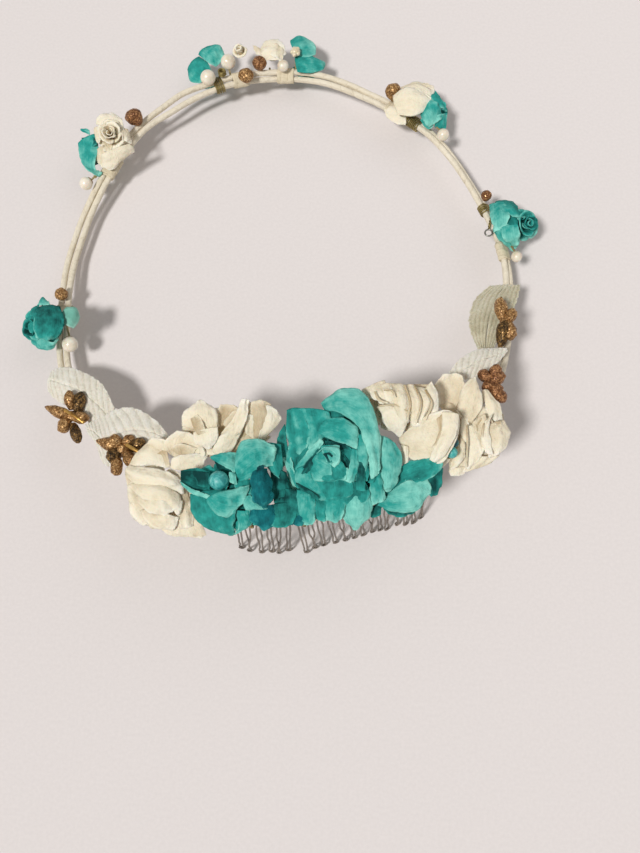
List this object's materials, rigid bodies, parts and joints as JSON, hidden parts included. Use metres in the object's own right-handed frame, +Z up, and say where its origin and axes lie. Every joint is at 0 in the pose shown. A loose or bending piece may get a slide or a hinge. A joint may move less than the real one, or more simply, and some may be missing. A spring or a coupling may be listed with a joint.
{
  "type": "flower crown",
  "caption": "Ring of two paper-wrapped wires with paper roses, fabric leaves, gold glitter sprays and pearls, and a curved wire comb lashed under the front flowers.",
  "frame": {"origin": "centre of the crown's bounding box on the table it lies on, at the height of the comb's tips", "axes": "+Z up from the table, +Y from the comb and front flowers to the back of the ring, +X to the right seen from the front and above"},
  "size_m": [0.186, 0.2, 0.0528],
  "materials": {
    "ivory_wrap": "matte crepe paper tape",
    "core_steel": "plain wire",
    "binding_wire": "olive enamelled wire",
    "comb_steel": "dull steel wire",
    "teal_paper": "dyed mulberry paper, matte",
    "deep_teal_paper": "dyed mulberry paper, darker",
    "ivory_paper": "mulberry paper, matte",
    "pale_teal_paper": "pale dyed paper",
    "turquoise_bead": "glossy bead",
    "pearl": "pearl lacquer",
    "cream_bead": "textured bead",
    "stem_wire": "paper covered wire",
    "tan_stem": "tan paper covered wire",
    "leaf_fabric": "ribbed stiffened ribbon",
    "gold_glitter": "gold glitter"
  },
  "bodies": {
    "crown": {"band_core_inner": "core_steel", "band_core_outer": "core_steel", "band_wrap_inner": "ivory_wrap", "band_wrap_outer": "ivory_wrap", "binding_wire_coils": "binding_wire", "cluster_tape_wraps": "ivory_wrap", "comb_lashing": "comb_steel", "comb_spine": "comb_steel", "comb_teeth": "comb_steel", "fabric_leaf_left_front": "leaf_fabric", "fabric_leaf_left_rear": "leaf_fabric", "fabric_leaf_right_front": "leaf_fabric", "fabric_leaf_right_rear": "leaf_fabric", "front_flower_stems": "stem_wire", "gold_pips": "gold_glitter", "gold_spray_left_front": "gold_glitter", "gold_spray_left_rear": "gold_glitter", "gold_spray_right_front": "gold_glitter", "gold_spray_right_rear": "gold_glitter", "ivory_cup_flower": "ivory_paper", "ivory_rose_left_bud": "ivory_paper", "ivory_rose_left_petals": "ivory_paper", "ivory_rose_right_bud": "ivory_paper", "ivory_rose_right_petals": "ivory_paper", "ivory_rose_upper_left_bud": "ivory_paper", "ivory_rose_upper_left_petals": "ivory_paper", "ivory_rose_upper_right_bud": "ivory_paper", "ivory_rose_upper_right_petals": "ivory_paper", "left_pale_petal": "pale_teal_paper", "left_rose": "teal_paper", "left_teal_bud": "deep_teal_paper", "left_teal_flower_petals": "teal_paper", "main_rose_bud": "teal_paper", "main_rose_inner_petals": "teal_paper", "main_rose_outer_petals": "teal_paper", "rear_flower_stems": "stem_wire", "right_rose": "teal_paper", "right_teal_rose_bud": "teal_paper", "right_teal_rose_petals": "teal_paper", "splice_sleeve": "ivory_wrap", "top_cream_bead": "cream_bead", "top_ivory_roses": "ivory_paper", "top_pearls": "pearl", "top_teal_blossoms": "teal_paper", "top_wire_knot": "binding_wire", "turquoise_beads": "turquoise_bead", "upper_left_rose": "ivory_paper", "upper_left_teal_blossom": "teal_paper", "upper_right_ivory_bud": "ivory_paper", "upper_right_teal_bud": "teal_paper", "wire_eye": "binding_wire"},
    "left_pearl_pick": {"left_pearl": "pearl", "left_pearl_stem": "tan_stem"},
    "upper_left_pearl_pick": {"upper_left_pearl": "pearl", "upper_left_pearl_stem": "tan_stem"},
    "upper_right_pearl_pick": {"upper_right_pearl": "pearl", "upper_right_pearl_stem": "tan_stem"},
    "right_pearl_pick": {"right_pearl": "pearl", "right_pearl_stem": "tan_stem"}
  },
  "joints": [
    {"name": "left_pearl_bend", "type": "hinge", "parent": "crown", "child": "left_pearl_pick", "pos_m": [-0.07531, -0.01979, 0.0108], "axis": [0, 0, 1], "range_deg": [-12, 12]},
    {"name": "upper_left_pearl_bend", "type": "hinge", "parent": "crown", "child": "upper_left_pearl_pick", "pos_m": [-0.07051, 0.04041, 0.0114], "axis": [0, 0, 1], "range_deg": [-12, 12]},
    {"name": "upper_right_pearl_bend", "type": "hinge", "parent": "crown", "child": "upper_right_pearl_pick", "pos_m": [0.05869, 0.06101, 0.0136], "axis": [0, 0, 1], "range_deg": [-12, 12]},
    {"name": "right_pearl_bend", "type": "hinge", "parent": "crown", "child": "right_pearl_pick", "pos_m": [0.08489, 0.01071, 0.0136], "axis": [0, 0, 1], "range_deg": [-5, 12]}
  ]
}
